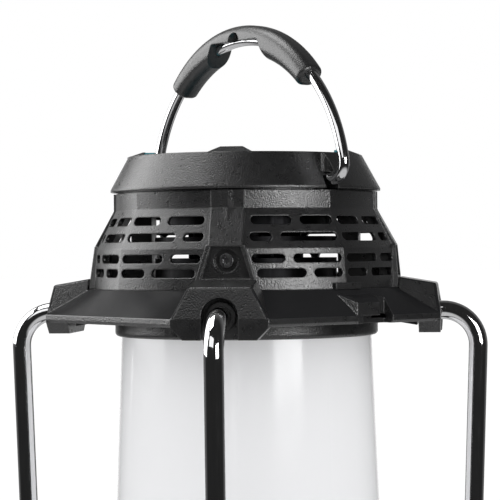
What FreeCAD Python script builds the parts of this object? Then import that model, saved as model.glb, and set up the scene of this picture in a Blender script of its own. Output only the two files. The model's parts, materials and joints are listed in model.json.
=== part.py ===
import FreeCAD, Part
import math
import os

# Rugged lantern with a bail handle, a vented head, a white diffuser and four guard rods.
# Millimetres, +Z up, the origin on the ground below the middle of the object.
# The sides of the base face X and Y, the guard rods stand on the diagonals.

V = FreeCAD.Vector
ORIGIN = V(0, 0, 0)
UP = V(0, 0, 1)

# Fits
gap = 0.3
fit = 0.05
wall = 3.0
# How far a cutter runs past the face it opens, or a joined piece into its neighbour
overrun = 1.0

# Heights of the stack, from the ground up
foot_height = 6.0
tray_height = 19.0
base_seal = 1.0
base_side_height = 60.0
base_slope_height = 12.0
diffuser_open_length = 181.7
collar_height = 9.3
rim_height = 5.0
skirt_rise = 16.0
vent_lower_height = 25.0
vent_upper_height = 24.7
neck_height = 10.9
cap_shadow_gap = 1.0
cap_lip = 1.4
cap_height = 22.6
lug_height = 3.5

tray_bottom = foot_height
tray_top = tray_bottom + tray_height
shell_bottom = tray_top + base_seal
shell_edge = shell_bottom + base_side_height
deck = shell_edge + base_slope_height
lower_collar_top = deck + collar_height
collar_bottom = lower_collar_top + diffuser_open_length
rim_bottom = collar_bottom + collar_height
rim_top = rim_bottom + rim_height
vent_base = rim_top + skirt_rise
vent_waist = vent_base + vent_lower_height
neck_base = vent_waist + vent_upper_height
neck_top = neck_base + neck_height
cap_rim = neck_top + cap_shadow_gap
cap_top = cap_rim + cap_height

# Base: distances from the axis to the sides and to the cut corners
base_side = 106.0
base_corner = 125.0
base_round = 5.0
base_wall = 4.0
base_top_side = 98.0
base_top_corner = 112.0
tray_chamfer = 5.0
tray_wall = 6.5
deck_thickness = 4.0
post_inner = 86.0
post_half_width = 17.0
groove_count = 4
groove_pitch = 11.0
groove_height = 5.0
groove_length = 120.0
groove_depth = 1.4
foot_radius = 10.0
foot_reach = 110.0
foot_seat = 1.5
foot_chamfer = 2.0
tray_screw_reach = 93.0
tray_head_top = 5.2
tray_screw_grip = 20.0
gasket_inset = 0.6

# Diffuser and its seats
diffuser_top_radius = 80.2
diffuser_bottom_radius = 87.6
diffuser_wall = 2.5
diffuser_seat = 2.0
seal_width = 3.0
collar_radius = 84.5
collar_round = 2.5
lower_collar_radius = 93.0
bore_radius = 70.0

# Shoulder: a square flange with cut corners and four arms for the rods
rim_side = 109.2
rim_corner = 125.4
rim_chamfer = 1.6
skirt_top_radius = 100.5
skirt_room_corner = 104.0
arm_inner = 99.6
arm_end = 122.6
arm_half_width = 19.0
arm_round = 2.0
arm_inner_top = vent_base + 6.4
arm_end_top = vent_base + 2.5
tongue_inner = 111.6
tongue_reach = 125.4
tongue_foot_reach = 125.0
tongue_drop = 7.4
tongue_half_width = 22.0
recess_half_width = 11.0
recess_back = 114.0
base_recess_back = 113.0
recess_lift = 0.5
rib_inner = 94.0
rib_end = 110.0
rib_inner_drop = 0.5
rib_end_drop = 3.2
rib_half_width = 10.0
rod_screw_reach = 105.0
rod_screw_drop = 2.2
rod_screw_head_radius = 3.0
rod_screw_head_depth = 1.6
ear_inner = 60.0
ear_top_outer = 73.4
ear_outer = 86.5
ear_half_width = 9.0
cleat_width = 18.0
cleat_top_reach = 107.4
cleat_front_drop = 8.2
cleat_top_drop = 5.6
cleat_root_drop = 1.4
cleat_buttress = 13.0
cleat_stem = 4.7
cleat_notch_end = 28.5
cleat_notch_depth = 8.0

# Guard rods
rod_radius = 6.0
rod_bend = 22.0
rod_top_reach = 149.1
rod_bottom_reach = 141.1
rod_socket_end = 100.0
rod_top_height = rim_bottom + 6.0
rod_bottom_height = deck - 22.0
grommet_radius = 8.6
grommet_length = 4.0

# Vented housing: an eight-sided shell with a pillar at each diagonal
vent_base_radius = 99.5
vent_waist_radius = 97.0
vent_bulge = 5.0
neck_radius = 85.0
neck_bulge = 4.0
neck_step_radius = 82.0
neck_step_height = 2.0
vent_wall = 2.6
tab_inner = 97.2
tab_outer = 101.0
tab_half_width = 9.8
tab_height = 3.8
pillar_half_width = 10.3
pillar_depth = 10.0
pillar_neck_reach = 84.4
brow_rise = 2.0
flare_half_width = 20.0
flare_top_half_width = 11.7
flare_reach = 99.2
flare_top_reach = 97.0
pocket_reach = 94.4
pocket_border = 2.6
pocket_ledge_lift = 0.6
pocket_brow_drop = 0.6
slot_height = 5.2
slot_margin = 2.0
slot_rib = 5.2
slot_cut_depth = 10.0
# Each row: height above the vent base, slot next to the crease, slot next to the pillar
slot_rows = [(42.1, 21.5, 25.3), (32.0, 37.0, 13.6), (19.0, 31.7, 20.5), (10.2, 18.9, 30.5)]
spigot_radius = 58.0
spigot_height = 8.0
screw_height = vent_base + 17.8
screw_sink_radius = 7.2
screw_seat_reach = 90.8
screw_head_radius = 4.2
screw_head_depth = 2.6
screw_shank_radius = 2.0
torx_core_radius = 1.7
torx_lobe_reach = 1.6
torx_lobe_radius = 0.7
torx_depth = 1.6

# Cap
cap_rim_radius = 86.8
cap_top_radius = 75.2
cap_pocket_radius = 6.0
cap_pocket_reach = 81.0
cap_pocket_rise = 10.2
lug_outer = 74.6
lug_top_outer = 65.7
lug_inner = 58.2
lug_half_width = 13.4
lug_top_half_width = 6.9
lug_crest = 64.4
pad_height = 3.2
plate_radius = 52.0
plate_hole_radius = 8.5
plate_thickness = 2.4

# Bail handle, swinging about X
pivot_height = cap_rim + 5.4
wire_radius = 3.5
bail_radius = 99.5
bail_drop = 7.6
bail_bend = 10.0
stub_end = 66.0
bush_inner = 64.0
bush_face = 75.0
bush_radius = 5.0
boss_radius = 6.1
grip_angle = 43.0
grip_half_width = 9.0
grip_top_gap = 9.6
grip_end_gap = 5.4
grip_inner_gap = 9.6
grip_round = 7.4
grip_end_round = 2.5
grip_notch_half = 24.0
grip_notch_drop = 0.7
grip_notch_round = 2.0
grip_notch_flare = 14.0
grip_notch_depth = 29.0
hook_arch_radius = 5.6

# Light engine
mast_radius = 24.0
mast_wall = 3.0
led_board_width = 11.0
led_board_thickness = 1.2
led_board_end_gap = 10.0
led_size = 2.8
led_thickness = 0.9
leds_per_board = 8
reflector_thickness = 2.0
upper_reflector_radius = 76.7
lower_reflector_radius = 81.6
sink_plate_radius = 78.0
sink_plate_thickness = 5.0
sink_core_radius = 22.0
sink_fin_radius = 37.0
sink_fin_thickness = 2.2
sink_fin_count = 16
sink_height = 52.0
# Radius of each disc, and its foot and top above the vent base
sink_discs = [(58.5, 4.0, 19.0), (58.5, 21.8, 32.6), (55.5, 35.5, 47.0)]

# Battery and driver
cell_radius = 9.0
cell_length = 65.0
cell_pitch = 22.0
cell_columns = 4
cell_rows = 3
holder_height = 6.0
holder_floor = 3.0
holder_margin = 4.0
holder_lift = 6.0
board_thickness = 1.6
component_x = 24.0
component_y = 11.0
coil_radius = 6.0
coil_height = 4.0
capacitor_radius = 4.0
capacitor_height = 4.4
chip_half_length = 7.0
chip_half_width = 5.0
chip_height = 1.6
lead_radius = 1.4
lead_offset = 3.0

# Tripod socket
insert_radius = 4.8
insert_bore = 3.175

# Control panel on the -Y side
panel_half_width = 44.0
panel_height = 38.0
panel_thickness = 2.2
panel_centre = 57.0
panel_round = 5.0
button_drop = 4.0
power_radius = 9.0
step_radius = 6.6
step_spacing = 26.0
button_proud = 2.2
button_travel = 1.2
button_flange = 1.4
button_flange_width = 1.2
button_round = 1.0
light_count = 4
light_radius = 1.8
light_spacing = 9.0
light_rise = 12.0
switch_size = 6.0
switch_gap = 0.2
switch_board_back = 8.0
switch_post_reach = 40.0

# Charging socket and its flap on the +Y side
flap_half_width = 14.0
flap_height = 20.0
flap_thickness = 2.5
flap_hinge_height = 44.0
flap_barrel = 1.9
flap_pin = 0.8
flap_pin_reach = 17.0
flap_lip_half_width = 7.0
flap_lip_height = 2.7
flap_lip_proud = 1.6
socket_hole = 5.0
socket_radius = 7.0
socket_bore = 4.6
socket_depth = 12.0
socket_floor = 3.0
socket_pin_radius = 1.2
socket_pin_length = 2.0


def turned(profile):
    """Solid of revolution about Z from (radius, height) points."""
    points = [V(radius, 0, height) for radius, height in profile]
    face = Part.Face(closed(points))
    return face.revolve(ORIGIN, UP, 360)


def ring(outer, inner, low, high):
    """Plain ring about Z."""
    return turned([(inner, low), (outer, low), (outer, high), (inner, high)])


def bar(start, end, radius):
    """Round bar between two points."""
    return Part.makeCylinder(radius, (end - start).Length, start, end - start)


def box(low, high):
    """Box between two opposite corners."""
    size = high - low
    return Part.makeBox(size.x, size.y, size.z, low)


def closed(points):
    """Closed outline of straight sides."""
    return Part.makePolygon(points + points[:1])


def arc_outline(corners, crowns):
    """Closed outline of arcs from corner to corner, each bowed out to its crown."""
    onward = corners[1:] + corners[:1]
    return Part.Wire([Part.Arc(*ends).toShape() for ends in zip(corners, crowns, onward)])


def stacked(outlines):
    """Solid with straight rulings through closed outlines."""
    return Part.makeLoft(outlines, True, True)


def layers(sections):
    """Straight-sided solid through closed outlines, each a list of points."""
    return stacked([closed(points) for points in sections])


def square_outline(side, corner, height):
    """Square with cut corners: distances to the sides and to the corner cuts."""
    end = math.sqrt(2) * corner - side
    quarter = [(side, -end), (side, end), (end, side), (-end, side)]
    half = [V(x, y, height) for x, y in quarter]
    return half + [V(-point.x, -point.y, height) for point in half]


def polar(radius, turn, height):
    """Point at a radius and a turn in degrees from +X."""
    angle = math.radians(turn)
    return V(radius * math.cos(angle), radius * math.sin(angle), height)


def eight_sided(radius, height):
    """Regular octagon with a vertex on each axis and each diagonal."""
    return [polar(radius, 45 * step, height) for step in range(8)]


def bowed_eight_sided(radius, bulge, height):
    """The same octagon with its sides bowed outwards."""
    middle = radius * math.cos(math.pi / 8) + bulge
    crowns = [polar(middle, 45 * step + 22.5, height) for step in range(8)]
    return arc_outline(eight_sided(radius, height), crowns)


def arm_to_arm(radius, height):
    """Circle in arcs that end at the arms, in step with the corners of a cut square."""
    reach = 45 - math.degrees(math.asin(arm_half_width / radius))
    turns = [90 * quarter + side * reach for quarter in range(4) for side in (-1, 1)]
    corners = [polar(radius, turn, height) for turn in turns]
    return arc_outline(corners, eight_sided(radius, height))


def across(reach, half_width, height):
    """Two points at one reach on the +X side, for outlines of corner features."""
    return [V(reach, -half_width, height), V(reach, half_width, height)]


def slab(inner, outer, half_width, height):
    """Level outline between two reaches on the +X side."""
    near = across(inner, half_width, height)
    far = across(outer, half_width, height)
    return [near[0], far[0], far[1], near[1]]


def at_corners(shape):
    """Four copies of a shape built on the +X side, turned to the diagonals."""
    copies = []
    for quarter in range(4):
        copy = shape.copy()
        copy.rotate(ORIGIN, UP, 45 + 90 * quarter)
        copies.append(copy)
    return copies


def both_ends(shape):
    """A shape built on the +X side and the same turned half round."""
    twin = shape.copy()
    twin.rotate(ORIGIN, UP, 180)
    return [shape, twin]


def rounded_path(points, radius):
    """Wire through points with each inner corner rounded."""
    edges = []
    start = points[0]
    for before, corner, after in zip(points, points[1:], points[2:]):
        back = (before - corner).normalize()
        onward = (after - corner).normalize()
        half = back.getAngle(onward) / 2
        first = corner + back * (radius / math.tan(half))
        last = corner + onward * (radius / math.tan(half))
        middle = corner + (back + onward).normalize() * (radius / math.sin(half) - radius)
        edges.append(Part.LineSegment(start, first).toShape())
        edges.append(Part.Arc(first, middle, last).toShape())
        start = last
    edges.append(Part.LineSegment(start, points[-1]).toShape())
    return Part.Wire(edges)


def tube_along(path, radius):
    """Round solid swept along a wire."""
    first = path.Edges[0]
    circle = Part.makeCircle(radius, first.Vertexes[0].Point, first.tangentAt(first.FirstParameter))
    return path.makePipeShell([Part.Wire(circle)], True, False)


# Base

def base_cavity(low, high, inset):
    """Room inside the straight sides of the base, between two heights."""
    return layers([square_outline(base_side - inset, base_corner - inset, low),
                   square_outline(base_side - inset, base_corner - inset, high)])


def corner_post(low, high):
    return layers([slab(post_inner, base_corner, post_half_width, low),
                   slab(post_inner, base_corner, post_half_width, high)])


def rod_seat(height, back, open_to):
    """Round-ended recess across a corner, open to one height, that a rod leaves through."""
    outer = rim_corner + rod_bend
    round_end = bar(V(back, 0, height), V(outer, 0, height), recess_half_width)
    low, high = sorted([height, open_to])
    return round_end.fuse(box(V(back, -recess_half_width, low), V(outer, recess_half_width, high)))


def rod_bore(height):
    return bar(V(rod_socket_end - gap, 0, height), V(rim_corner, 0, height), rod_radius + fit)


def tray_screw(radius, low, high):
    return bar(V(tray_screw_reach, 0, low), V(tray_screw_reach, 0, high), radius)


def rounded_uprights(shape):
    """Round the upright edges of a base outline."""
    uprights = [edge for edge in shape.Edges
                if edge.BoundBox.XLength < fit and edge.BoundBox.YLength < fit]
    return shape.makeFillet(base_round, uprights)


def base_tray():
    outside = layers([square_outline(base_side - tray_chamfer, base_corner - tray_chamfer, tray_bottom),
                      square_outline(base_side, base_corner, tray_bottom + tray_chamfer),
                      square_outline(base_side, base_corner, tray_top)])
    outside = rounded_uprights(outside)
    floor = tray_bottom + wall
    tray = outside.cut(base_cavity(floor, tray_top, tray_wall))
    boss = bar(V(0, 0, tray_bottom), V(0, 0, floor + holder_lift), insert_radius + wall)
    tray = tray.fuse([boss] + at_corners(tray_screw(screw_head_radius + wall, tray_bottom, shell_bottom)))
    head_room = tray_screw(screw_head_radius + gap, tray_bottom, tray_bottom + tray_head_top)
    shank_room = tray_screw(screw_shank_radius + fit, tray_bottom, shell_bottom)
    foot_room = bar(V(foot_reach, 0, tray_bottom), V(foot_reach, 0, tray_bottom + foot_seat), foot_radius)
    insert_room = bar(V(0, 0, tray_bottom), V(0, 0, floor + holder_lift), insert_radius)
    rooms = at_corners(head_room) + at_corners(shank_room) + at_corners(foot_room)
    return tray.cut(rooms + [insert_room]).removeSplitter()


def tray_screws():
    head_top = tray_bottom + tray_head_top
    head = tray_screw(screw_head_radius, head_top - screw_head_depth, head_top)
    drive = torx_drive()
    drive.translate(V(tray_screw_reach, 0, head_top - screw_head_depth))
    shank = tray_screw(screw_shank_radius, head_top, shell_bottom + tray_screw_grip)
    return Part.makeCompound(at_corners(head.fuse(shank).cut(drive)))


def torx_drive():
    """Six-lobed driver recess standing on the origin along +Z."""
    lobes = []
    for step in range(6):
        turn = math.radians(60 * step)
        centre = V(torx_lobe_reach * math.cos(turn), torx_lobe_reach * math.sin(turn), 0)
        lobes.append(Part.makeCylinder(torx_lobe_radius, torx_depth, centre))
    return Part.makeCylinder(torx_core_radius, torx_depth).fuse(lobes)


def rubber_feet():
    top = tray_bottom + foot_seat
    side = foot_radius - fit
    foot = turned([(0, 0), (side - foot_chamfer, 0), (side, foot_chamfer), (side, top), (0, top)])
    foot.translate(V(foot_reach, 0, 0))
    return Part.makeCompound(at_corners(foot))


def base_gasket():
    outside = base_cavity(tray_top, shell_bottom, gasket_inset)
    return outside.cut(base_cavity(tray_top, shell_bottom, base_wall - gasket_inset))


def panel_room(depth, clearance):
    """Rounded plate-shaped room in the front wall."""
    width = panel_half_width + clearance
    half = panel_height / 2 + clearance
    low = V(-width, -base_side, panel_centre - half)
    high = V(width, -base_side + depth, panel_centre + half)
    room = box(low, high)
    corners = [edge for edge in room.Edges if abs(edge.tangentAt(0).y) > 0.9]
    return room.makeFillet(panel_round, corners)


def buttons():
    """Name, place across, radius of each push button."""
    return [("power_button", 0.0, power_radius),
            ("brighter_button", step_spacing, step_radius),
            ("dimmer_button", -step_spacing, step_radius)]


def along_y(across_x, height, start, end, radius):
    return bar(V(across_x, start, height), V(across_x, end, height), radius)


def light_places():
    return [light_spacing * (step - (light_count - 1) / 2) for step in range(light_count)]


def panel_holes(start, end, clearance):
    height = panel_centre - button_drop
    holes = [along_y(place, height, start, end, radius + clearance) for name, place, radius in buttons()]
    for place in light_places():
        holes.append(along_y(place, panel_centre + light_rise, start, end, light_radius + fit))
    return holes


def switch_posts(radius):
    inside = -base_side + base_wall
    height = panel_centre - button_drop
    end = inside + switch_board_back
    return [along_y(side * switch_post_reach, height, inside - overrun, end, radius) for side in (-1, 1)]


def flap_room():
    """Pocket in the back wall for the closed flap and its hinge barrel."""
    front = base_side - flap_thickness - gap
    low = V(-flap_half_width, front, flap_hinge_height)
    high = V(flap_half_width, base_side + overrun, flap_hinge_height + flap_height + gap)
    axis = flap_axis()
    barrel = bar(V(-flap_half_width, axis, flap_hinge_height), V(flap_half_width, axis, flap_hinge_height),
                 flap_barrel + gap)
    mouth = box(V(-flap_half_width, axis, flap_hinge_height - flap_barrel - gap),
                V(flap_half_width, base_side + overrun, flap_hinge_height))
    return box(low, high).fuse([barrel, mouth])


def flap_axis():
    return base_side - flap_barrel + gap


def socket_height():
    return flap_hinge_height + flap_height / 2


def side_grooves():
    """Grip grooves across the +X and -X sides of the base."""
    grooves = []
    for step in range(groove_count):
        height = panel_centre + groove_pitch * (step - (groove_count - 1) / 2)
        reach = base_side - groove_depth
        half = groove_length / 2 - groove_height / 2
        outer = base_side + overrun
        middle = box(V(reach, -half, height - groove_height / 2), V(outer, half, height + groove_height / 2))
        ends = [bar(V(reach, side * half, height), V(outer, side * half, height), groove_height / 2)
                for side in (-1, 1)]
        grooves += both_ends(middle.fuse(ends))
    return grooves


def base_shell():
    outside = layers([square_outline(base_side, base_corner, shell_bottom),
                      square_outline(base_side, base_corner, shell_edge),
                      square_outline(base_top_side, base_top_corner, deck)])
    outside = rounded_uprights(outside)
    cavity = base_cavity(shell_bottom, shell_edge, base_wall)
    slope_room = layers([square_outline(base_side - base_wall, base_corner - base_wall, shell_edge),
                         square_outline(base_top_side - base_wall, base_top_corner - base_wall,
                                        deck - deck_thickness)])
    cavity = cavity.fuse(slope_room).cut(at_corners(corner_post(shell_bottom, deck)))
    shell = outside.cut(cavity).fuse(switch_posts(wall))
    inside = -base_side + base_wall
    cuts = at_corners(rod_seat(rod_bottom_height, base_recess_back, deck + overrun))
    cuts += at_corners(rod_bore(rod_bottom_height))
    cuts += at_corners(tray_screw(screw_shank_radius + fit, shell_bottom,
                                  shell_bottom + tray_screw_grip + overrun))
    cuts += [panel_room(panel_thickness, 0)] + panel_holes(-base_side, inside, gap)
    socket_room = along_y(0, socket_height(), base_side - base_wall - overrun, base_side, socket_hole)
    cuts += [flap_room(), socket_room]
    lead_hole = bar(V(0, 0, deck - deck_thickness), V(0, 0, deck), lead_offset + lead_radius + wall)
    return shell.cut(cuts + side_grooves() + [flap_hinge_pin(), lead_hole]).removeSplitter()


def control_panel():
    plate = panel_room(panel_thickness, -fit)
    holes = panel_holes(-base_side, -base_side + panel_thickness, gap)
    return plate.cut(holes)


def push_button(place, radius):
    """Round button with a flange behind the wall that keeps it in."""
    height = panel_centre - button_drop
    inside = -base_side + base_wall
    cap = along_y(place, height, -base_side - button_proud, inside, radius)
    front_edge = [edge for edge in cap.Edges if edge.BoundBox.YMax < -base_side]
    cap = cap.makeFillet(button_round, front_edge)
    flange = along_y(place, height, inside, inside + button_flange, radius + button_flange_width)
    return cap.fuse(flange).removeSplitter()


def level_lights():
    front = -base_side - gap
    back = -base_side + base_wall + switch_board_back
    height = panel_centre + light_rise
    return Part.makeCompound([along_y(place, height, front, back, light_radius) for place in light_places()])


def switch_board():
    front = -base_side + base_wall + switch_board_back
    middle = panel_centre - button_drop
    low = V(-panel_half_width, front, middle - step_radius)
    high = V(panel_half_width, front + board_thickness, panel_centre + light_rise + 2 * light_radius)
    return box(low, high)


def tact_switches():
    back = -base_side + base_wall + switch_board_back
    front = -base_side + base_wall + button_flange + button_travel + switch_gap
    middle = panel_centre - button_drop
    half = switch_size / 2
    switches = []
    for name, place, radius in buttons():
        switches.append(box(V(place - half, front, middle - half), V(place + half, back, middle + half)))
    return Part.makeCompound(switches)


def port_flap():
    axis = flap_axis()
    half = flap_half_width - gap
    top = flap_hinge_height + flap_height - gap
    plate = box(V(-half, base_side - flap_thickness, flap_hinge_height), V(half, base_side, top))
    barrel = bar(V(-half, axis, flap_hinge_height), V(half, axis, flap_hinge_height), flap_barrel)
    lip = box(V(-flap_lip_half_width, base_side - overrun, top - flap_lip_height),
              V(flap_lip_half_width, base_side + flap_lip_proud, top))
    pin_room = bar(V(-half, axis, flap_hinge_height), V(half, axis, flap_hinge_height), flap_pin + fit)
    return plate.fuse([barrel, lip]).cut(pin_room).removeSplitter()


def flap_hinge_pin():
    axis = flap_axis()
    middle = V(0, axis, flap_hinge_height)
    reach = V(flap_pin_reach, 0, 0)
    return bar(middle - reach, middle + reach, flap_pin)


def charge_socket():
    front = base_side - base_wall
    back = front - socket_depth
    body = along_y(0, socket_height(), back, front, socket_radius)
    floor = back + socket_floor
    bore = along_y(0, socket_height(), floor, front, socket_bore)
    pin = along_y(0, socket_height(), back, floor + socket_pin_length, socket_pin_radius)
    return body.cut(bore).fuse(pin).removeSplitter()


# Battery and driver

def cell_places():
    places = []
    for column in range(cell_columns):
        for row in range(cell_rows):
            x = cell_pitch * (column - (cell_columns - 1) / 2)
            y = cell_pitch * (row - (cell_rows - 1) / 2)
            places.append(V(x, y, 0))
    return places


holder_bottom = tray_bottom + wall + holder_lift
cell_bottom = holder_bottom + holder_floor
cell_top = cell_bottom + cell_length
holder_half_x = cell_pitch * cell_columns / 2 + holder_margin
holder_half_y = cell_pitch * cell_rows / 2 + holder_margin
driver_bottom = cell_top + holder_floor


def holder_plate(low, high):
    plate = box(V(-holder_half_x, -holder_half_y, low), V(holder_half_x, holder_half_y, high))
    wells = [Part.makeCylinder(cell_radius + fit, cell_length, place + V(0, 0, cell_bottom))
             for place in cell_places()]
    return plate.cut(wells)


def battery_cells():
    return Part.makeCompound([Part.makeCylinder(cell_radius, cell_length, place + V(0, 0, cell_bottom))
                              for place in cell_places()])


def driver_board():
    return box(V(-holder_half_x, -holder_half_y, driver_bottom),
               V(holder_half_x, holder_half_y, driver_bottom + board_thickness))


def driver_components():
    top = driver_bottom + board_thickness
    coil = Part.makeCylinder(coil_radius, coil_height, V(-component_x, component_y, top))
    capacitor = Part.makeCylinder(capacitor_radius, capacitor_height, V(component_x, component_y, top))
    middle = V(component_x, -component_y, top)
    chip = box(middle - V(chip_half_length, chip_half_width, 0),
               middle + V(chip_half_length, chip_half_width, chip_height))
    return Part.makeCompound([coil, chip, capacitor])


def mast_leads():
    low = driver_bottom + board_thickness
    wires = [bar(V(side * lead_offset, 0, low), V(side * lead_offset, 0, vent_base), lead_radius)
             for side in (-1, 1)]
    return Part.makeCompound(wires)


def tripod_insert():
    top = tray_bottom + wall + holder_lift
    return ring(insert_radius, insert_bore, tray_bottom, top)


# Light engine

def led_mast():
    outside = layers([eight_sided(mast_radius, deck), eight_sided(mast_radius, vent_base)])
    inner = mast_radius - mast_wall / math.cos(math.pi / 8)
    return outside.cut(layers([eight_sided(inner, deck), eight_sided(inner, vent_base)]))


def around_mast(shape):
    """A shape on the +X side repeated on the eight faces of the mast."""
    copies = []
    for step in range(8):
        copy = shape.copy()
        copy.rotate(ORIGIN, UP, 22.5 + 45 * step)
        copies.append(copy)
    return copies


mast_face = mast_radius * math.cos(math.pi / 8)
board_low = deck + led_board_end_gap
board_high = rim_bottom - led_board_end_gap


def led_boards():
    half = led_board_width / 2
    board = box(V(mast_face, -half, board_low), V(mast_face + led_board_thickness, half, board_high))
    return Part.makeCompound(around_mast(board))


def led_chips():
    half = led_size / 2
    face = mast_face + led_board_thickness
    pitch = (board_high - board_low) / leds_per_board
    chips = []
    for step in range(leds_per_board):
        middle = board_low + pitch * (step + 0.5)
        chip = box(V(face, -half, middle - half), V(face + led_thickness, half, middle + half))
        chips += around_mast(chip)
    return Part.makeCompound(chips)


def reflector(radius, low):
    return ring(radius, mast_radius + gap, low, low + reflector_thickness)


def heat_sink():
    plate = Part.makeCylinder(sink_plate_radius, sink_plate_thickness, V(0, 0, vent_base))
    ear_room = box(V(ear_inner - gap, -ear_half_width - gap, vent_base),
                   V(ear_outer, ear_half_width + gap, vent_base + sink_plate_thickness))
    plate = plate.cut(at_corners(ear_room))
    foot = vent_base + sink_plate_thickness - overrun
    fins = [Part.makeCylinder(sink_core_radius, sink_height, V(0, 0, foot))]
    for step in range(sink_fin_count):
        fin = box(V(sink_core_radius - overrun, -sink_fin_thickness / 2, foot),
                  V(sink_fin_radius, sink_fin_thickness / 2, foot + sink_height))
        fin.rotate(ORIGIN, UP, 360 * (step + 0.5) / sink_fin_count)
        fins.append(fin)
    discs = [bar(V(0, 0, vent_base + low), V(0, 0, vent_base + top), radius)
             for radius, low, top in sink_discs]
    return plate.fuse(fins + discs).removeSplitter()


# Diffuser

def diffuser():
    low = deck + diffuser_seat
    high = rim_bottom - diffuser_seat
    return turned([(diffuser_bottom_radius - diffuser_wall, low), (diffuser_bottom_radius, low),
                   (diffuser_top_radius, high), (diffuser_top_radius - diffuser_wall, high)])


def seal(radius, low):
    return ring(radius, radius - seal_width, low, low + diffuser_seat)


def upper_collar():
    slope = (diffuser_bottom_radius - diffuser_top_radius) / (rim_bottom - deck - 2 * diffuser_seat)
    clear = diffuser_top_radius + slope * collar_height + gap
    collar = ring(collar_radius, clear, collar_bottom, rim_bottom)
    lower_edge = [edge for edge in collar.Edges
                  if edge.BoundBox.ZMax < collar_bottom + fit and edge.BoundBox.XMax > clear + fit]
    return collar.makeFillet(collar_round, lower_edge)


def lower_collar():
    clear = diffuser_bottom_radius + gap
    collar = ring(lower_collar_radius, clear, deck, lower_collar_top)
    upper_edge = [edge for edge in collar.Edges
                  if edge.BoundBox.ZMin > lower_collar_top - fit and edge.BoundBox.XMax > clear + fit]
    return collar.makeFillet(collar_round, upper_edge)


# Shoulder

def rim_cut_half():
    """Half the length of the flange's corner cut."""
    return math.sqrt(2) * rim_side - rim_corner


def arm():
    """Block that carries the end of one rod, on the +X side."""
    half = rim_cut_half()
    inner_low = across(arm_inner, half, rim_top)
    inner_high = across(arm_inner, arm_half_width, arm_inner_top)
    outer_low = across(rim_corner, half, rim_top)
    outer_high = across(arm_end, arm_half_width, arm_end_top)
    block = layers([inner_low + inner_high[::-1], outer_low + outer_high[::-1]])
    top_edges = [edge for edge in block.Edges
                 if edge.BoundBox.ZMax > arm_end_top - fit and edge.BoundBox.XMax > arm_inner + fit]
    return block.makeFillet(arm_round, top_edges)


def tongue():
    """Lip below an arm that hides the bend of the rod."""
    return layers([slab(tongue_inner, tongue_foot_reach, tongue_half_width, rim_bottom - tongue_drop),
                   slab(tongue_inner, tongue_reach, rim_cut_half(), rim_bottom),
                   slab(tongue_inner, tongue_reach, rim_cut_half(), rim_top)])


def rod_rib():
    """Wedge under an arm, deeper towards the rod, that carries the rod's screw."""
    return layers([across(rib_inner, rib_half_width, rim_top)
                   + across(rib_inner, rib_half_width, rim_bottom - rib_inner_drop)[::-1],
                   across(rib_end, rib_half_width, rim_top)
                   + across(rib_end, rib_half_width, rim_bottom - rib_end_drop)[::-1]])


def ear():
    """Upright tab behind each pillar that takes the housing screw."""
    lower = box(V(ear_inner, -ear_half_width, vent_base),
                V(ear_outer, ear_half_width, screw_height + screw_sink_radius))
    upper = box(V(ear_inner, -ear_half_width, vent_base),
                V(ear_top_outer, ear_half_width, neck_top - wall - gap))
    return lower.fuse(upper)


def cleat():
    """Tie block beside the middle of a side, with a sloping buttress at one end."""
    inner = skirt_top_radius - wall
    root = vent_base - cleat_root_drop
    side = closed([V(inner, 0, rim_bottom), V(rim_side, 0, rim_bottom),
                   V(rim_side, 0, vent_base - cleat_front_drop),
                   V(cleat_top_reach, 0, vent_base - cleat_top_drop), V(inner, 0, root)])
    block = Part.Face(side).extrude(V(0, cleat_width, 0))
    tip = Part.Vertex(V(skirt_top_radius - overrun, -cleat_buttress, root))
    return block.fuse(stacked([side, tip]))


def cleat_notch():
    """Gap beside the tie block and under its free end, for a line."""
    inner = rim_side - cleat_notch_depth
    outer = rim_side + overrun
    beside = box(V(inner, cleat_width, rim_bottom - overrun), V(outer, cleat_notch_end, vent_base - wall))
    below = box(V(inner, cleat_stem, rim_bottom - overrun), V(outer, cleat_notch_end, rim_top))
    return beside.fuse(below)


def skirt():
    """Flange that flares from a round top to a square rim with cut corners."""
    edge = closed(square_outline(rim_side, rim_corner, rim_top))
    rim = stacked([closed(square_outline(rim_side - rim_chamfer, rim_corner - rim_chamfer, rim_bottom)),
                   closed(square_outline(rim_side, rim_corner, rim_bottom + rim_chamfer)), edge])
    return rim.fuse(stacked([edge, arm_to_arm(skirt_top_radius, vent_base)]))


def shoulder_flange():
    room = stacked([closed(square_outline(rim_side - 2 * wall, skirt_room_corner, rim_bottom + wall)),
                    arm_to_arm(skirt_top_radius - wall, vent_base - wall)])
    posts = at_corners(layers([slab(post_inner, rim_corner, post_half_width, rim_bottom),
                               slab(post_inner, rim_corner, post_half_width, vent_base)]))
    flange = skirt().cut(room.cut(posts))
    flange = flange.fuse(at_corners(arm()) + at_corners(tongue()) + at_corners(rod_rib()))
    flange = flange.fuse(both_ends(cleat()) + at_corners(ear()))
    bore_room = bar(V(0, 0, rim_bottom - overrun), V(0, 0, vent_base + overrun), bore_radius)
    seat_foot = rim_bottom - tongue_drop - overrun
    cuts = [bore_room] + at_corners(rod_seat(rod_top_height + recess_lift, recess_back, seat_foot))
    cuts += at_corners(rod_bore(rod_top_height)) + at_corners(rod_screw_shank(screw_shank_radius + fit))
    cuts += at_corners(rod_screw_head(rod_screw_head_radius + gap, rim_bottom - rib_end_drop))
    cuts += at_corners(housing_screw_bar(screw_shank_radius + fit)) + both_ends(cleat_notch())
    return flange.cut(cuts).removeSplitter()


def rod_screw_shank(radius):
    """Upright bar from under an arm to the middle of the rod in it."""
    return bar(V(rod_screw_reach, 0, rim_bottom - rod_screw_drop),
               V(rod_screw_reach, 0, rod_top_height), radius)


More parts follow.
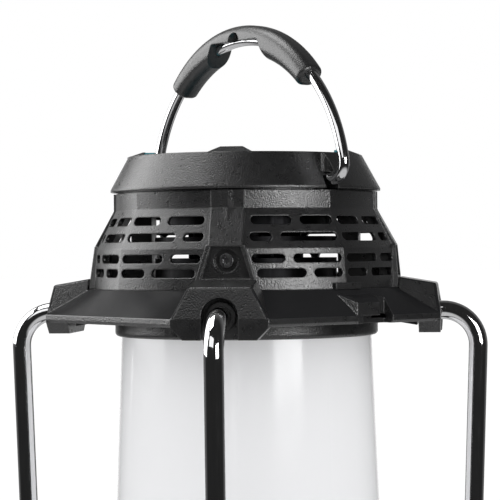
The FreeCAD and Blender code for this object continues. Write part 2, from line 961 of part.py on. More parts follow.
def rod_screw_head(radius, low):
    top = rim_bottom - rod_screw_drop + rod_screw_head_depth
    return bar(V(rod_screw_reach, 0, low), V(rod_screw_reach, 0, top), radius)


def rod_screws():
    low = rim_bottom - rod_screw_drop
    drive = torx_drive()
    drive.translate(V(rod_screw_reach, 0, low))
    screw = rod_screw_head(rod_screw_head_radius, low).fuse(rod_screw_shank(screw_shank_radius))
    return Part.makeCompound(at_corners(screw.cut(drive)))


def guard_rod():
    path = rounded_path([V(rod_socket_end, 0, rod_top_height), V(rod_top_reach, 0, rod_top_height),
                         V(rod_bottom_reach, 0, rod_bottom_height), V(rod_socket_end, 0, rod_bottom_height)],
                        rod_bend)
    return tube_along(path, rod_radius).cut(rod_screw_shank(screw_shank_radius + fit))


def grommets(back, height):
    start = V(back, 0, height)
    end = V(back + grommet_length, 0, height)
    washer = bar(start, end, grommet_radius).cut(bar(start, end, rod_radius + fit))
    return Part.makeCompound(at_corners(washer))


# Vented housing

def vent_outline(radius_less):
    """Sections of the eight-sided shell, smaller by the given radius."""
    return [bowed_eight_sided(vent_base_radius - radius_less, vent_bulge, vent_base),
            bowed_eight_sided(vent_waist_radius - radius_less, vent_bulge, vent_waist),
            bowed_eight_sided(neck_radius - radius_less, neck_bulge, neck_base)]


def neck_room(radius_less, high):
    """Straight neck above the vents, smaller by the given radius."""
    levels = [neck_base, high]
    return stacked([bowed_eight_sided(neck_radius - radius_less, neck_bulge, level) for level in levels])


def neck_step():
    """Low ring on the neck that closes the gap under the cap."""
    step = ring(neck_step_radius, neck_step_radius - wall, neck_top - wall, neck_top + neck_step_height)
    return step.cut(cap_pockets(cap_pocket_radius + wall + gap, neck_top, cap_top))


def vent_radius(rise):
    """Radius of the shell's creases at a height above its base."""
    if rise < vent_lower_height:
        share = rise / vent_lower_height
        return vent_base_radius + share * (vent_waist_radius - vent_base_radius)
    share = (rise - vent_lower_height) / vent_upper_height
    return vent_waist_radius + share * (neck_radius - vent_waist_radius)


def slot(length):
    """Round-ended slot through the wall, centred on the origin and facing +X."""
    half = length / 2 - slot_height / 2
    depth = slot_cut_depth
    ends = [bar(V(-depth, side * half, 0), V(depth, side * half, 0), slot_height / 2) for side in (-1, 1)]
    middle = box(V(-depth, -half, -slot_height / 2), V(depth, half, slot_height / 2))
    return middle.fuse(ends)


def corner_slots():
    """Slots of the two panels beside the pillar on the +X side."""
    along = V(-math.sin(math.pi / 8), math.cos(math.pi / 8), 0)
    slots = []
    for rise, crease_length, pillar_length in slot_rows:
        radius = vent_radius(rise)
        crease = V(radius, radius, 0) / math.sqrt(2) + V(0, 0, vent_base + rise)
        starts = [(slot_margin, crease_length), (slot_margin + crease_length + slot_rib, pillar_length)]
        for start, length in starts:
            cutter = slot(length)
            cutter.rotate(ORIGIN, UP, 22.5)
            cutter.translate(crease - along * (start + length / 2))
            slots += [cutter, cutter.mirror(ORIGIN, V(0, 1, 0))]
    return slots


brow = vent_waist + brow_rise


def pillar():
    """Raised strip at a diagonal with a flared foot, on the +X side."""
    neck_inner = pillar_neck_reach - pillar_depth
    strip = layers([slab(vent_waist_radius - pillar_depth, vent_waist_radius, pillar_half_width, brow),
                    slab(neck_inner, pillar_neck_reach, pillar_half_width, neck_base),
                    slab(neck_inner, pillar_neck_reach, pillar_half_width, neck_top)])
    inner = ear_outer + gap
    foot = layers([slab(inner, flare_reach, flare_half_width, vent_base),
                   slab(inner, flare_top_reach, flare_top_half_width, brow)])
    return strip.fuse(foot)


def pillar_pocket():
    """Sunk panel of a flared foot, with a round sink for the screw head."""
    ledge = arm_inner_top + pocket_ledge_lift
    share = (ledge - vent_base) / (brow - vent_base)
    brow_half = flare_top_half_width
    ledge_half = flare_half_width + share * (brow_half - flare_half_width)
    outer = vent_base_radius + overrun
    panel = layers([slab(pocket_reach, outer, ledge_half - pocket_border, ledge),
                    slab(pocket_reach, outer, brow_half - pocket_border, brow - pocket_brow_drop)])
    sink = bar(V(screw_seat_reach, 0, screw_height), V(outer, 0, screw_height), screw_sink_radius)
    return panel.fuse(sink)


def housing_screw_bar(radius):
    return bar(V(ear_inner, 0, screw_height), V(screw_seat_reach, 0, screw_height), radius)


def vent_housing():
    inset = vent_wall / math.cos(math.pi / 8)
    top = neck_top - wall
    shell = stacked(vent_outline(0)).fuse(neck_room(0, neck_top))
    room = stacked(vent_outline(inset)).fuse(neck_room(inset, top))
    slots = []
    for cutter in corner_slots():
        slots += at_corners(cutter)
    shell = shell.cut([room] + slots)
    spigot = ring(spigot_radius, spigot_radius - wall, top, neck_top + spigot_height)
    tab = box(V(tab_inner, -tab_half_width, vent_base), V(tab_outer, tab_half_width, vent_base + tab_height))
    shell = shell.fuse(at_corners(pillar()) + both_ends(tab) + [spigot, neck_step()])
    vent_hole = bar(V(0, 0, top - overrun), V(0, 0, neck_top + overrun), spigot_radius - wall)
    screw_rooms = at_corners(housing_screw_bar(screw_shank_radius + fit)) + at_corners(pillar_pocket())
    return shell.cut([vent_hole] + screw_rooms).removeSplitter()


def housing_screws():
    face = screw_seat_reach + screw_head_depth
    head = bar(V(screw_seat_reach, 0, screw_height), V(face, 0, screw_height), screw_head_radius)
    drive = torx_drive()
    drive.rotate(ORIGIN, V(0, 1, 0), 90)
    drive.translate(V(face - torx_depth, 0, screw_height))
    return Part.makeCompound(at_corners(head.cut(drive).fuse(housing_screw_bar(screw_shank_radius))))


# Cap

def cap_lug():
    """Low rest on the cap's top, sloping in from the edge, on the +X side."""
    return layers([slab(lug_crest, lug_outer, lug_half_width, cap_top - overrun),
                   slab(lug_crest, lug_outer, lug_half_width, cap_top),
                   slab(lug_crest, lug_top_outer, lug_top_half_width, cap_top + lug_height)])


def lug_pads():
    pad = layers([slab(lug_inner, lug_crest, lug_half_width, cap_top),
                  slab(lug_inner, lug_crest, lug_top_half_width, cap_top + pad_height)])
    return Part.makeCompound(at_corners(pad))


def bail_ends():
    """Outward direction of each bail pivot."""
    return [V(-1, 0, 0), V(1, 0, 0)]


def cap_pockets(radius, low, high):
    """Round posts or pockets in the cap's side above the bail's pivots."""
    return [Part.makeCylinder(radius, high - low, out * cap_pocket_reach + V(0, 0, low))
            for out in bail_ends()]


def cap_slot():
    """Way from below to one pivot's bore."""
    low = V(bush_face, -bush_radius, cap_rim - overrun)
    return box(low, V(cap_rim_radius + overrun, bush_radius, pivot_height))


def top_cap():
    inner_rim = cap_rim_radius - wall
    ceiling = cap_top - plate_thickness - wall
    slope = (cap_rim_radius - cap_top_radius) / (cap_height - cap_lip)
    inner_top = inner_rim - slope * (ceiling - cap_rim - cap_lip)
    outside = turned([(0, cap_rim), (cap_rim_radius, cap_rim), (cap_rim_radius, cap_rim + cap_lip),
                      (cap_top_radius, cap_top), (plate_radius + fit, cap_top),
                      (plate_radius + fit, cap_top - plate_thickness), (0, cap_top - plate_thickness)])
    room = turned([(0, cap_rim), (inner_rim, cap_rim), (inner_rim, cap_rim + cap_lip),
                   (inner_top, ceiling), (0, ceiling)])
    sleeve = ring(spigot_radius + wall, spigot_radius + fit, neck_top, ceiling + overrun)
    pivot = V(0, 0, pivot_height)
    bosses = [bar(pivot + out * (spigot_radius + wall / 2), pivot + out * bush_face, boss_radius)
              for out in bail_ends()]
    bores = [bar(pivot + out * (spigot_radius + wall), pivot + out * cap_rim_radius, bush_radius)
             for out in bail_ends()]
    cap = outside.cut(room.cut(cap_pockets(cap_pocket_radius + wall, cap_rim, cap_top)))
    cap = cap.fuse(at_corners(cap_lug()) + bosses + [sleeve])
    pockets = cap_pockets(cap_pocket_radius, cap_rim + cap_pocket_rise, cap_top + overrun)
    return cap.cut(pockets + bores + both_ends(cap_slot())).removeSplitter()


def top_plate():
    return ring(plate_radius, plate_hole_radius, cap_top - plate_thickness, cap_top)


def bail_bushes():
    pivot = V(0, 0, pivot_height)
    bushes = []
    for out in bail_ends():
        start = pivot + out * bush_inner
        end = pivot + out * bush_face
        bushes.append(bar(start, end, bush_radius).cut(bar(start, end, wire_radius + fit)))
    return Part.makeCompound(bushes)


# Bail handle

bail_centre = pivot_height - bail_drop


def bail_path():
    """Stub, bend, arch, bend and stub in the XZ plane."""
    rise = bail_drop + bail_bend
    bend_x = math.sqrt((bail_radius - bail_bend) ** 2 - rise ** 2)
    turn = math.atan2(rise, bend_x)
    arch_x = bail_radius * math.cos(turn)
    arch_z = bail_centre + bail_radius * math.sin(turn)
    half = (turn - math.pi / 2) / 2
    bend_mid_x = bend_x + bail_bend * math.cos(half)
    bend_mid_z = pivot_height + bail_bend + bail_bend * math.sin(half)
    right = [V(stub_end, 0, pivot_height), V(bend_x, 0, pivot_height),
             V(bend_mid_x, 0, bend_mid_z), V(arch_x, 0, arch_z)]
    left = [V(-point.x, 0, point.z) for point in right]
    top = V(0, 0, bail_centre + bail_radius)
    curves = [Part.LineSegment(right[0], right[1]), Part.Arc(right[1], right[2], right[3]),
              Part.Arc(right[3], top, left[3]), Part.Arc(left[3], left[2], left[1]),
              Part.LineSegment(left[1], left[0])]
    return Part.Wire([curve.toShape() for curve in curves])


def bail_wire():
    return tube_along(bail_path(), wire_radius)


def disc_along_y(radius, centre_height):
    """Disc as wide as the grip, with its axis along Y."""
    return bar(V(0, -grip_half_width, centre_height), V(0, grip_half_width, centre_height), radius)


def grip_outer_arc():
    """Radius and centre height of the grip's outer face."""
    angle = math.radians(grip_angle)
    top = bail_radius + grip_top_gap
    end_x = (bail_radius + grip_end_gap) * math.sin(angle)
    end_z = (bail_radius + grip_end_gap) * math.cos(angle)
    radius = (end_x ** 2 + (top - end_z) ** 2) / (2 * (top - end_z))
    return radius, bail_centre + top - radius


def is_grip_end(face):
    """True for the two flat faces that point along the wire."""
    normal = face.normalAt(0, 0)
    flat = face.Surface.TypeId == "Part::GeomPlane"
    return flat and abs(abs(normal.z) - math.sin(math.radians(grip_angle))) < fit and abs(normal.y) < fit


def bail_grip():
    outer_radius, outer_centre = grip_outer_arc()
    outer = disc_along_y(outer_radius, outer_centre)
    outer = outer.makeFillet(grip_round, [edge for edge in outer.Edges if edge.BoundBox.YLength < fit])
    inner_radius = bail_radius - grip_inner_gap
    hole = disc_along_y(inner_radius, bail_centre)
    frame = disc_along_y(2 * bail_radius, bail_centre).cut(hole)
    rims = [edge for edge in frame.Edges
            if edge.BoundBox.YLength < fit and edge.BoundBox.XMax < inner_radius + overrun]
    frame = frame.makeFillet(grip_round, rims)
    reach = 2 * bail_radius
    angle = math.radians(grip_angle)
    tip = V(0, -grip_half_width, bail_centre)
    side = V(reach * math.sin(angle), 0, reach * math.cos(angle))
    other = V(-side.x, 0, side.z)
    wedge = Part.Face(closed([tip, tip + side, tip + other]))
    wedge = wedge.extrude(V(0, 2 * grip_half_width, 0))
    body = outer.common(frame).common(wedge)
    ends = [face for face in body.Faces if is_grip_end(face)]
    body = body.makeFillet(grip_end_round, [edge for face in ends for edge in face.Edges])
    return body.cut([grip_notch(), tube_along(bail_path(), wire_radius + fit)]).removeSplitter()


def grip_notch():
    """Flared cut that bares the wire below the middle of the grip, with an arch over it for a hook."""
    roof = bail_centre + bail_radius - grip_notch_drop
    low = roof - grip_notch_depth
    flare = grip_notch_half + grip_notch_flare
    points = [V(-grip_notch_half, -grip_half_width, roof), V(grip_notch_half, -grip_half_width, roof),
              V(flare, -grip_half_width, low), V(-flare, -grip_half_width, low)]
    notch = Part.Face(closed(points)).extrude(V(0, 2 * grip_half_width, 0))
    ceiling = [edge for edge in notch.Edges
               if edge.BoundBox.YLength > grip_half_width and edge.BoundBox.ZMin > roof - fit]
    notch = notch.makeFillet(grip_notch_round, ceiling)
    arch = bar(V(0, -grip_half_width, roof), V(0, grip_half_width, roof), hook_arch_radius)
    return notch.fuse(arch)


os.makedirs("parts", exist_ok=True)
nodes = {
    "bail_wire": bail_wire(),
    "bail_grip": bail_grip(),
    "bail_bushes": bail_bushes(),
    "top_cap": top_cap(),
    "top_plate": top_plate(),
    "lug_pads": lug_pads(),
    "vent_housing": vent_housing(),
    "housing_screws": housing_screws(),
    "heat_sink": heat_sink(),
    "shoulder_flange": shoulder_flange(),
    "rod_screws": rod_screws(),
    "upper_grommets": grommets(recess_back, rod_top_height),
    "lower_grommets": grommets(base_recess_back, rod_bottom_height),
    "upper_collar": upper_collar(),
    "upper_seal": seal(diffuser_top_radius, rim_bottom - diffuser_seat),
    "diffuser": diffuser(),
    "lower_seal": seal(diffuser_bottom_radius, deck),
    "lower_collar": lower_collar(),
    "upper_reflector": reflector(upper_reflector_radius, rim_bottom - reflector_thickness),
    "lower_reflector": reflector(lower_reflector_radius, deck),
    "led_mast": led_mast(),
    "led_boards": led_boards(),
    "led_chips": led_chips(),
    "mast_leads": mast_leads(),
    "base_shell": base_shell(),
    "base_gasket": base_gasket(),
    "base_tray": base_tray(),
    "tray_screws": tray_screws(),
    "rubber_feet": rubber_feet(),
    "tripod_insert": tripod_insert(),
    "lower_cell_holder": holder_plate(holder_bottom, holder_bottom + holder_height),
    "upper_cell_holder": holder_plate(driver_bottom - holder_height, driver_bottom),
    "battery_cells": battery_cells(),
    "driver_board": driver_board(),
    "driver_components": driver_components(),
    "control_panel": control_panel(),
    "level_lights": level_lights(),
    "switch_board": switch_board(),
    "tact_switches": tact_switches(),
    "port_flap": port_flap(),
    "flap_hinge_pin": flap_hinge_pin(),
    "charge_socket": charge_socket(),
}
for name, place, radius in buttons():
    nodes[name] = push_button(place, radius)
rod_names = ["guard_rod_back_right", "guard_rod_back_left", "guard_rod_front_left", "guard_rod_front_right"]
for name, rod in zip(rod_names, at_corners(guard_rod())):
    nodes[name] = rod
for name, shape in nodes.items():
    shape.exportStep("parts/" + name + ".step")
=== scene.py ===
import json
import math
import bpy
from mathutils import Matrix, Vector


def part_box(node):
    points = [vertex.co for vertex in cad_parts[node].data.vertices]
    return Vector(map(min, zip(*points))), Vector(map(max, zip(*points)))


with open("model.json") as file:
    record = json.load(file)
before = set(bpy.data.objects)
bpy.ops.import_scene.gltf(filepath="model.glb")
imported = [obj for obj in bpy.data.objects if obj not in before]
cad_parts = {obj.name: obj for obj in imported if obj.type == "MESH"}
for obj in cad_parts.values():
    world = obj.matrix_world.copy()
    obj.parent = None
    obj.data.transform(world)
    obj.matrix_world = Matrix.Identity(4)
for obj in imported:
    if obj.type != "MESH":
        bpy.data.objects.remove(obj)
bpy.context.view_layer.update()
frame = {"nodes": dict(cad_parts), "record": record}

# Sizes are in metres, angles in degrees and texture scales in cells per metre
cad_nodes = frame["nodes"]
head_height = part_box("vent_housing")[0].z

# Camera: level, at the height of the vents, looking at the corner beside the push buttons
camera_azimuth = 52.2
camera_distance = 1.261
camera_rise = 0.0241
camera_side = 0.0026
camera_roll = 0.5
camera_lens_mm = 140.76
camera_sensor_mm = 36.0

# Softboxes: turn from the camera to its right, rise, distance, width, height and radiance
softboxes = {
    "left_strip": (-104.5, 20.0, 1.4, 1.5, 1.16, 3.5),
    "left_overhead": (-100.0, 64.0, 1.6, 1.15, 0.8, 4.5),
    "front_fill": (-30.0, 30.0, 1.6, 1.3, 0.65, 1.2),
    "right_softbox": (36.5, 10.0, 1.6, 0.75, 0.72, 8.0),
}

# Room: the light on the object, and how bright gloss sees the backdrop, the sides and the floor
ambient = 1.1
backdrop_level = 1.0
backdrop_half_angle = 18.0
backdrop_fade = (-0.06, 0.03)
dark_room = 0.02
side_glow = 0.14
side_fade = (0.0, 0.6)
floor_glow = 0.6
floor_fade = (-0.3, -0.6)
studio_white = (1, 1, 1, 1)
floor_size = 40.0
floor_white = (0.95, 0.95, 0.95, 1)

# Panels of the shoulder: faces at a slant that look to one of the four sides
panel_slope = (0.3, 0.93)
panel_facing = 0.82

# Rounded edges of moulded and machined parts
moulded_edge = 0.0011
machined_edge = 0.0004
bevel_samples = 6

# Spans of noise that are stretched to a full range
wide_span = (0.3, 0.7)
narrow_span = (0.35, 0.65)

# Mouldings: colour, size and depth of the grain, roughness and specular level
mouldings = {
    "shell_plastic": ((0.0085, 0.0085, 0.009, 1), 0.00095, 0.00015, 0.3, 1.0),
    "grip_rubber": ((0.00935, 0.00935, 0.0099, 1), 0.0009, 0.0001, 0.34, 1.0),
    "satin_panel": ((0.01445, 0.01445, 0.0153, 1), 0.0006, 0.00003, 0.34, 0.05),
    "bush_plastic": ((0.03, 0.03, 0.03, 1), 0.0008, 0.0001, 0.45, 0.5),
    "teal_plastic": ((0.0, 0.17, 0.21, 1), 0.0011, 0.00015, 0.42, 0.5),
    "seal_rubber": ((0.014, 0.014, 0.014, 1), 0.0007, 0.0001, 0.55, 0.5),
    "inner_plastic": ((0.03, 0.03, 0.031, 1), 0.0008, 0.00008, 0.5, 0.5),
    "button_rubber": ((0.1, 0.1, 0.104, 1), 0.0006, 0.00008, 0.5, 0.5),
    "flap_rubber": ((0.02, 0.02, 0.02, 1), 0.0009, 0.00015, 0.52, 0.5),
}
mottle_scale = 35.0
mottle_tones = (0.85, 1.15)
gloss_scale = 250.0
gloss_swing = 0.03
pebble_smoothness = 0.3
fine_per_pebble = 2.5
fine_share = 0.2

# Pale edges, partly wear and partly a painted highlight: width, the turn of the normal where the paleness
# starts and is full, share and paleness
worn_and_highlit_edge = 0.00066
wear_and_highlight_turn = (0.98, 0.8)
edge_wear_and_highlight = 0.5
edge_wear_and_highlight_lift = 0.07

# Metals: colour, roughness and how much streaks and scuffs add to it
metals = {
    "bright_chrome": ((0.78, 0.78, 0.79, 1), 0.03, 0.05),
    "screw_steel": ((0.32, 0.32, 0.33, 1), 0.22, 0.1),
    # The heat sink's colour is darkened near black as painted shade for the dark inside of the housing
    "sink_aluminium": ((0.015, 0.015, 0.016, 1), 0.32, 0.15),
    "insert_brass": ((0.68, 0.47, 0.2, 1), 0.22, 0.12),
}
streak_stretch = (1, 1, 0.06)
streak_scale = 900.0
streak_tones = (0.9, 1.08)
streak_depth = 0.00001
streak_strength = 0.4
scuff_scale = 160.0
scuff_span = (0.62, 0.8)

# Smooth plastics: colour and roughness
smooth_plastics = {
    "reflector_plastic": ((0.8, 0.8, 0.8, 1), 0.3),
    "light_resin": ((0.82, 0.76, 0.5, 1), 0.12),
    "lead_jacket": ((0.32, 0.02, 0.02, 1), 0.35),
    "cell_can": ((0.06, 0.18, 0.28, 1), 0.25),
    "panel_plastic": ((0.03, 0.03, 0.032, 1), 0.2),
}
cloud_scale = 120.0
cloud_tones = (0.88, 1.1)
cloud_depth = 0.00005
cloud_strength = 0.5
polish_scale = 300.0
polish_swing = 0.08

# Diffuser: the two tones of its white, its gloss, its depth and its upright mould lines
opal_tones = ((0.865, 0.87, 0.885, 1), (0.895, 0.895, 0.91, 1))
opal_scale = 9.0
opal_gloss_scale = 60.0
opal_roughness = (0.1, 0.16)
opal_weight = 0.15
opal_reach = (0.006, 0.006, 0.006)
ripple_stretch = (1, 1, 0.02)
ripple_scale = 70.0
ripple_depth = 0.0002
ripple_strength = 0.3

# Circuit boards: weave, tracks and lacquer
weave_tones = ((0.02, 0.13, 0.055, 1), (0.03, 0.16, 0.07, 1))
weave_scale = 1800.0
track_green = (0.05, 0.24, 0.1, 1)
track_scale = 60.0
track_width = 0.03
track_depth = 0.00003
lacquer_scale = 400.0
lacquer_roughness = (0.28, 0.4)


# Node helpers

def feed(tree, socket, value):
    """Link a socket, or set it to a plain value."""
    if isinstance(value, bpy.types.NodeSocket):
        tree.links.new(value, socket)
    else:
        socket.default_value = value


def add(tree, kind, inputs=None, **settings):
    """New shader node; an input is a value or a socket to link from."""
    made = tree.nodes.new(kind)
    for name, value in settings.items():
        setattr(made, name, value)
    for name, value in (inputs or {}).items():
        feed(tree, made.inputs[name], value)
    return made


def math_node(tree, operation, first, second):
    return add(tree, "ShaderNodeMath", {0: first, 1: second}, operation=operation).outputs[0]


def vector_node(tree, operation, first, second):
    return add(tree, "ShaderNodeVectorMath", {0: first, 1: second}, operation=operation)


def spread(tree, value, span, result=(0.0, 1.0)):
    """Value mapped smoothly from a span to a range of results."""
    return add(tree, "ShaderNodeMapRange", {"Value": value, "From Min": span[0], "From Max": span[1],
                                            "To Min": result[0], "To Max": result[1]},
               interpolation_type="SMOOTHSTEP").outputs["Result"]


def noise(tree, place, scale, detail=3.0, roughness=0.55):
    return add(tree, "ShaderNodeTexNoise", {"Vector": place, "Scale": scale, "Detail": detail,
                                            "Roughness": roughness}).outputs["Fac"]


def stretched(tree, place, factors):
    return vector_node(tree, "MULTIPLY", place, factors).outputs["Vector"]


def blend_colour(tree, share, first, second):
    """Mix of two colours; a colour mix has its sockets at these numbers."""
    share_socket, first_socket, second_socket, result_socket = 0, 6, 7, 2
    mix = add(tree, "ShaderNodeMix", data_type="RGBA")
    feed(tree, mix.inputs[share_socket], share)
    feed(tree, mix.inputs[first_socket], first)
    feed(tree, mix.inputs[second_socket], second)
    return mix.outputs[result_socket]


def shade(colour, factor):
    """A colour made lighter or darker, with its alpha."""
    return tuple(channel * factor for channel in colour[:3]) + (1,)


def two_tone(tree, share, colour, factors):
    """A colour that varies between two shades of itself."""
    return blend_colour(tree, share, shade(colour, factors[0]), shade(colour, factors[1]))


def start(name):
    """New material with its tree, its shader and the place on the object."""
    material = bpy.data.materials.new(name)
    material.use_nodes = True
    tree = material.node_tree
    return material, tree, tree.nodes["Principled BSDF"], add(tree, "ShaderNodeTexCoord").outputs["Object"]


def dress(tree, shader, tone, gloss, normal):
    """Link colour, roughness and normal to the shader."""
    tree.links.new(tone, shader.inputs["Base Color"])
    tree.links.new(gloss, shader.inputs["Roughness"])
    tree.links.new(normal, shader.inputs["Normal"])


def rounded(tree, radius):
    """Normal with the edges softened."""
    return add(tree, "ShaderNodeBevel", {"Radius": radius}, samples=bevel_samples).outputs["Normal"]


def edge_share(tree, soft_normal):
    """About one along edges and zero on open faces."""
    face = add(tree, "ShaderNodeNewGeometry").outputs["Normal"]
    facing = vector_node(tree, "DOT_PRODUCT", soft_normal, face).outputs["Value"]
    return spread(tree, facing, wear_and_highlight_turn)


def bumped(tree, height, normal, depth, strength=1.0):
    return add(tree, "ShaderNodeBump", {"Strength": strength, "Distance": depth, "Height": height,
                                        "Normal": normal}).outputs["Normal"]


def leather_grain(tree, place, cell):
    """Height of a fine pebbled grain."""
    pebbles = add(tree, "ShaderNodeTexVoronoi", {"Vector": place, "Scale": 1 / cell,
                                                 "Smoothness": pebble_smoothness},
                  feature="SMOOTH_F1").outputs["Distance"]
    fine = noise(tree, place, fine_per_pebble / cell, detail=2.0)
    return math_node(tree, "SUBTRACT", math_node(tree, "MULTIPLY", fine, fine_share), pebbles)


# Materials

def moulded_plastic(name, colour, cell, depth, roughness, specular):
    """Moulded plastic or rubber with pebbled grain, faint mottling and pale edges that are partly wear and
    partly a painted highlight.
    """
    material, tree, shader, place = start(name)
    shader.inputs["Specular IOR Level"].default_value = specular
    mottled = two_tone(tree, noise(tree, place, mottle_scale), colour, mottle_tones)
    # Every edge is lightened: partly wear, partly a painted highlight along the edges
    wear_and_highlight = math_node(tree, "MULTIPLY", edge_share(tree, rounded(tree, worn_and_highlit_edge)), edge_wear_and_highlight)
    pale_wear_and_highlight = tuple(channel + edge_wear_and_highlight_lift for channel in colour[:3]) + (1,)
    tone = blend_colour(tree, wear_and_highlight, mottled, pale_wear_and_highlight)
    gloss = spread(tree, noise(tree, place, gloss_scale), wide_span,
                   (roughness - gloss_swing, roughness + gloss_swing))
    grain = bumped(tree, leather_grain(tree, place, cell), rounded(tree, moulded_edge), depth)
    dress(tree, shader, tone, gloss, grain)
    return material


def bright_metal(name, colour, roughness, streak):
    """Plated or bare metal with faint streaks along the height and small scuffs."""
    material, tree, shader, place = start(name)
    shader.inputs["Metallic"].default_value = 1.0
    lines = noise(tree, stretched(tree, place, streak_stretch), streak_scale, detail=2.0)
    scuffs = spread(tree, noise(tree, place, scuff_scale, detail=6.0, roughness=0.7), scuff_span)
    gloss = math_node(tree, "ADD", spread(tree, lines, wide_span, (roughness, roughness + streak)),
                      math_node(tree, "MULTIPLY", scuffs, streak))
    normal = bumped(tree, lines, rounded(tree, machined_edge), streak_depth, streak_strength)
    dress(tree, shader, two_tone(tree, lines, colour, streak_tones), gloss, normal)
    return material


def smooth_gloss(name, colour, roughness):
    """Smooth glossy plastic or resin with slight clouding and waviness."""
    material, tree, shader, place = start(name)
    cloud = noise(tree, place, cloud_scale, detail=4.0)
    gloss = spread(tree, noise(tree, place, polish_scale), narrow_span,
                   (roughness, roughness + polish_swing))
    normal = bumped(tree, cloud, rounded(tree, machined_edge), cloud_depth, cloud_strength)
    dress(tree, shader, two_tone(tree, cloud, colour, cloud_tones), gloss, normal)
    return material


def opal_diffuser():
    """Glossy white plastic with depth, a little unevenness and fine upright mould lines."""
    material, tree, shader, place = start("opal_diffuser")
    shader.inputs["Subsurface Weight"].default_value = opal_weight
    shader.inputs["Subsurface Radius"].default_value = opal_reach
    shader.inputs["Subsurface Scale"].default_value = 1.0
    tone = blend_colour(tree, noise(tree, place, opal_scale), *opal_tones)
    gloss = spread(tree, noise(tree, place, opal_gloss_scale), narrow_span, opal_roughness)
    ripple = noise(tree, stretched(tree, place, ripple_stretch), ripple_scale, detail=2.0)
    normal = bumped(tree, ripple, rounded(tree, moulded_edge), ripple_depth, ripple_strength)
    dress(tree, shader, tone, gloss, normal)
    return material


def lacquered_board():
    """Circuit laminate with a fine weave and paler tracks under its lacquer."""
    material, tree, shader, place = start("lacquered_board")
    weave = add(tree, "ShaderNodeTexChecker", {"Vector": place, "Scale": weave_scale}).outputs["Fac"]
    tracks = add(tree, "ShaderNodeTexBrick", {"Vector": place, "Scale": track_scale,
                                              "Mortar Size": track_width}).outputs["Fac"]
    tone = blend_colour(tree, tracks, blend_colour(tree, weave, *weave_tones), track_green)
    gloss = spread(tree, noise(tree, place, lacquer_scale), wide_span, lacquer_roughness)
    normal = bumped(tree, tracks, rounded(tree, machined_edge), track_depth)
    dress(tree, shader, tone, gloss, normal)
    return material


def make_finishes():
    """All finishes by the name of their slot."""
    made = {name: moulded_plastic(name, *values) for name, values in mouldings.items()}
    made.update({name: bright_metal(name, *values) for name, values in metals.items()})
    made.update({name: smooth_gloss(name, *values) for name, values in smooth_plastics.items()})
    made["diffuser_plastic"] = opal_diffuser()
    made["board_laminate"] = lacquered_board()
    return made


def dress_nodes(finishes):
    """Give each node the finish of its slot."""
    for part in frame["record"]["subparts"]:
        mesh = cad_nodes[part["node"]].data
        mesh.materials.clear()
        mesh.materials.append(finishes[part["material_slot"]])


def dress_skirt(satin):
    """A smooth satin finish on the shoulder's sloping panels between the grained arms."""
    mesh = cad_nodes["shoulder_flange"].data
    mesh.materials.append(satin)
    for face in mesh.polygons:
        level = face.normal.xy
        sideways = max(abs(level.x), abs(level.y)) > panel_facing * level.length
        if sideways and panel_slope[0] < face.normal.z < panel_slope[1]:
            face.material_index = 1


# Stage

def direction(angle):
    """Level direction from the lantern, turned from the camera to its right."""
    turn = math.radians(camera_azimuth + angle)
    return Vector((math.sin(turn), -math.cos(turn), 0))


def softbox(name, turn, rise, distance, width, height, radiance):
    """Soft light aimed at the head; it shows in gloss only."""
    light = bpy.data.lights.new(name, "AREA")
    light.shape = "RECTANGLE"
    light.size = width
    light.size_y = height
    light.energy = radiance * math.pi * width * height
    lamp = bpy.data.objects.new(name, light)
    climb = math.radians(rise)
    out = direction(turn) * math.cos(climb) + Vector((0, 0, math.sin(climb)))
    lamp.location = out * distance + Vector((0, 0, head_height + camera_rise))
    lamp.rotation_euler = out.to_track_quat("Z", "Y").to_euler()
    lamp.visible_diffuse = False
    lamp.visible_camera = False
    bpy.context.scene.collection.objects.link(lamp)


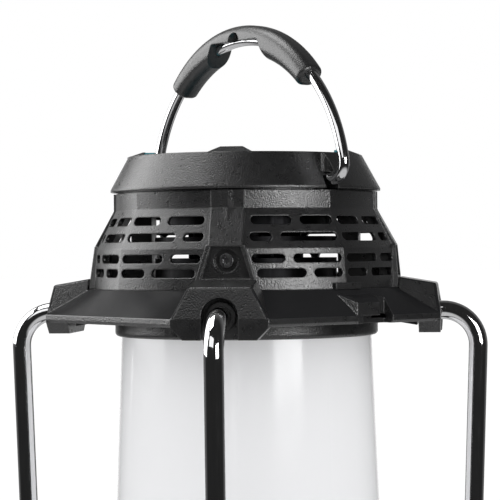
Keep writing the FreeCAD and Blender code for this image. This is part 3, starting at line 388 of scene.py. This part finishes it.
def room_glow(tree):
    """What gloss sees: a dark room with a white backdrop and a pale floor."""
    ray = add(tree, "ShaderNodeTexCoord").outputs["Generated"]
    facing = vector_node(tree, "DOT_PRODUCT", ray, tuple(direction(180))).outputs["Value"]
    height = add(tree, "ShaderNodeSeparateXYZ", {0: ray}).outputs["Z"]
    edge = math.cos(math.radians(backdrop_half_angle))
    sides = spread(tree, facing, side_fade, (dark_room, side_glow))
    backdrop = spread(tree, facing, (edge + backdrop_fade[0], edge + backdrop_fade[1]))
    below = spread(tree, height, floor_fade, (0.0, floor_glow))
    return math_node(tree, "MAXIMUM", math_node(tree, "MAXIMUM", sides, backdrop), below)


def make_world():
    """White all round for the camera and the object, and a room for gloss."""
    world = bpy.data.worlds.new("studio")
    bpy.context.scene.world = world
    world.use_nodes = True
    tree = world.node_tree
    tree.nodes.clear()
    paths = add(tree, "ShaderNodeLightPath").outputs
    level = spread(tree, paths["Is Camera Ray"], (0.0, 1.0), (ambient, backdrop_level))
    white = add(tree, "ShaderNodeBackground", {"Color": studio_white, "Strength": level}).outputs[0]
    room = add(tree, "ShaderNodeBackground", {"Color": studio_white, "Strength": room_glow(tree)}).outputs[0]
    mixed = add(tree, "ShaderNodeMixShader", {0: paths["Is Glossy Ray"], 1: white, 2: room}).outputs[0]
    add(tree, "ShaderNodeOutputWorld", {"Surface": mixed})


def make_floor():
    """A pale matt floor that keeps the shadow and stays out of reflections."""
    bpy.ops.mesh.primitive_plane_add(size=floor_size)
    floor = bpy.context.active_object
    floor.name = "floor"
    material, _, shader, _ = start("pale_floor")
    shader.inputs["Base Color"].default_value = floor_white
    shader.inputs["Roughness"].default_value = 1.0
    shader.inputs["Specular IOR Level"].default_value = 0.0
    floor.data.materials.append(material)
    floor.visible_glossy = False


def make_camera():
    camera = bpy.data.cameras.new("camera")
    camera.lens = camera_lens_mm
    camera.sensor_width = camera_sensor_mm
    eye = bpy.data.objects.new("camera", camera)
    out = direction(0)
    right = direction(90)
    up = Vector((0, 0, 1))
    roll = math.radians(camera_roll)
    across = right * math.cos(roll) - up * math.sin(roll)
    upward = up * math.cos(roll) + right * math.sin(roll)
    place = out * camera_distance + right * camera_side + up * (head_height + camera_rise)
    eye.matrix_world = Matrix.Translation(place) @ Matrix((across, upward, out)).transposed().to_4x4()
    bpy.context.scene.collection.objects.link(eye)
    bpy.context.scene.camera = eye


finishes = make_finishes()
dress_nodes(finishes)
dress_skirt(finishes["satin_panel"])
make_world()
make_floor()
for name, values in softboxes.items():
    softbox(name, *values)
make_camera()
bpy.context.scene.view_settings.view_transform = "Standard"
